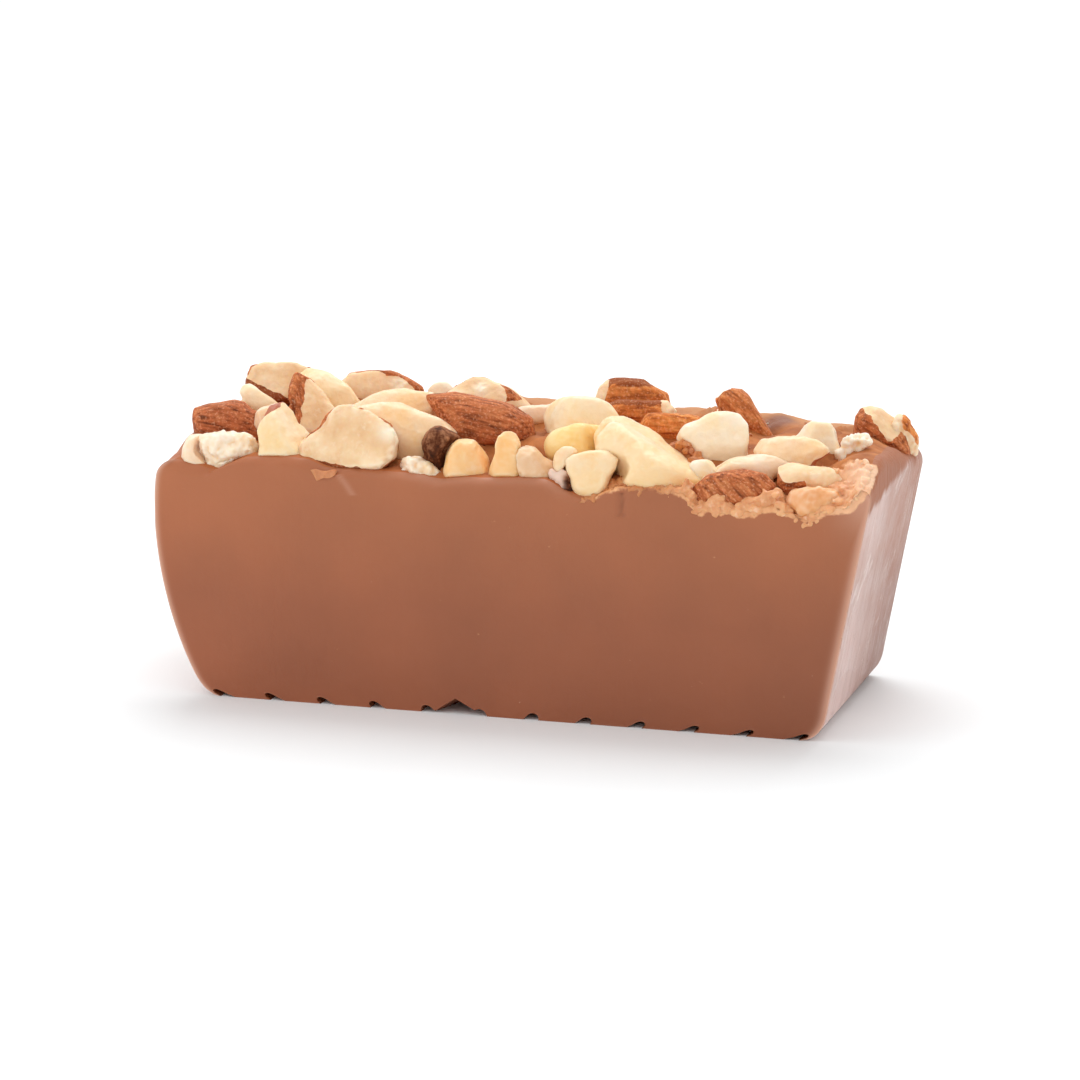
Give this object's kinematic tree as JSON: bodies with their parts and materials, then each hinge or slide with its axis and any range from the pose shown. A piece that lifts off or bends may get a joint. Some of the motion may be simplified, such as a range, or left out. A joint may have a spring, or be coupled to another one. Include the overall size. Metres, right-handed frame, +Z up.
{
  "type": "chocolate praline",
  "caption": "Slice of milk chocolate praline with a tapered moulded body, a grooved base and chopped nuts set into its uneven top.",
  "frame": {"origin": "on the base plane, under the middle of the slice's bounding box", "axes": "+X along the slice to the right as one faces the cut face, +Y from the cut face to the back, +Z up"},
  "size_m": [0.1209, 0.044, 0.0513],
  "materials": {
    "milk_chocolate": "satin, glossier on the moulded sides",
    "almond_skin": "dry, finely ridged",
    "hazelnut_skin": "dry",
    "blanched_nut": "satin"
  },
  "bodies": {
    "root": {"chocolate_body": "milk_chocolate", "blanched_crumbly_corner": "blanched_nut", "blanched_dome_corner": "blanched_nut", "blanched_peak_left": "blanched_nut", "almond_half_front": "almond_skin", "blanched_bit_front": "blanched_nut", "blanched_block_front": "blanched_nut", "hazelnut_dark": "hazelnut_skin", "blanched_peak_small": "blanched_nut", "blanched_clear_front": "blanched_nut", "blanched_bean": "blanched_nut", "blanched_knob": "blanched_nut", "hazelnut_crumb": "hazelnut_skin", "blanched_macadamia": "blanched_nut", "almond_front_right": "almond_skin", "blanched_bit_right": "blanched_nut", "blanched_chunk_corner": "blanched_nut", "almond_end_corner": "almond_skin", "blanched_wedge_right": "blanched_nut", "almond_stub_left": "almond_skin", "blanched_large_middle": "blanched_nut", "almond_whole": "almond_skin", "blanched_yellow": "blanched_nut", "blanched_slab_white": "blanched_nut", "blanched_bar": "blanched_nut", "blanched_ridge": "blanched_nut", "blanched_upright": "blanched_nut", "blanched_flake": "blanched_nut", "blanched_finger": "blanched_nut", "blanched_filler_left": "blanched_nut", "blanched_filler_corner": "blanched_nut", "almond_chunk_left": "almond_skin", "almond_tall": "almond_skin", "blanched_yellow_back": "blanched_nut", "almond_half_back": "almond_skin", "blanched_large_back": "blanched_nut", "blanched_bit_back": "blanched_nut", "almond_chunk_middle": "almond_skin", "blanched_clear_back": "blanched_nut", "almond_slice_top": "almond_skin", "almond_slice_under": "almond_skin", "almond_stick": "almond_skin", "almond_leaning": "almond_skin", "almond_corner": "almond_skin", "almond_corner_bit": "almond_skin", "blanched_low_left": "blanched_nut", "blanched_low_back": "blanched_nut", "blanched_low_middle": "blanched_nut", "blanched_low_slice": "blanched_nut", "almond_low_right": "almond_skin"}
  },
  "joints": []
}
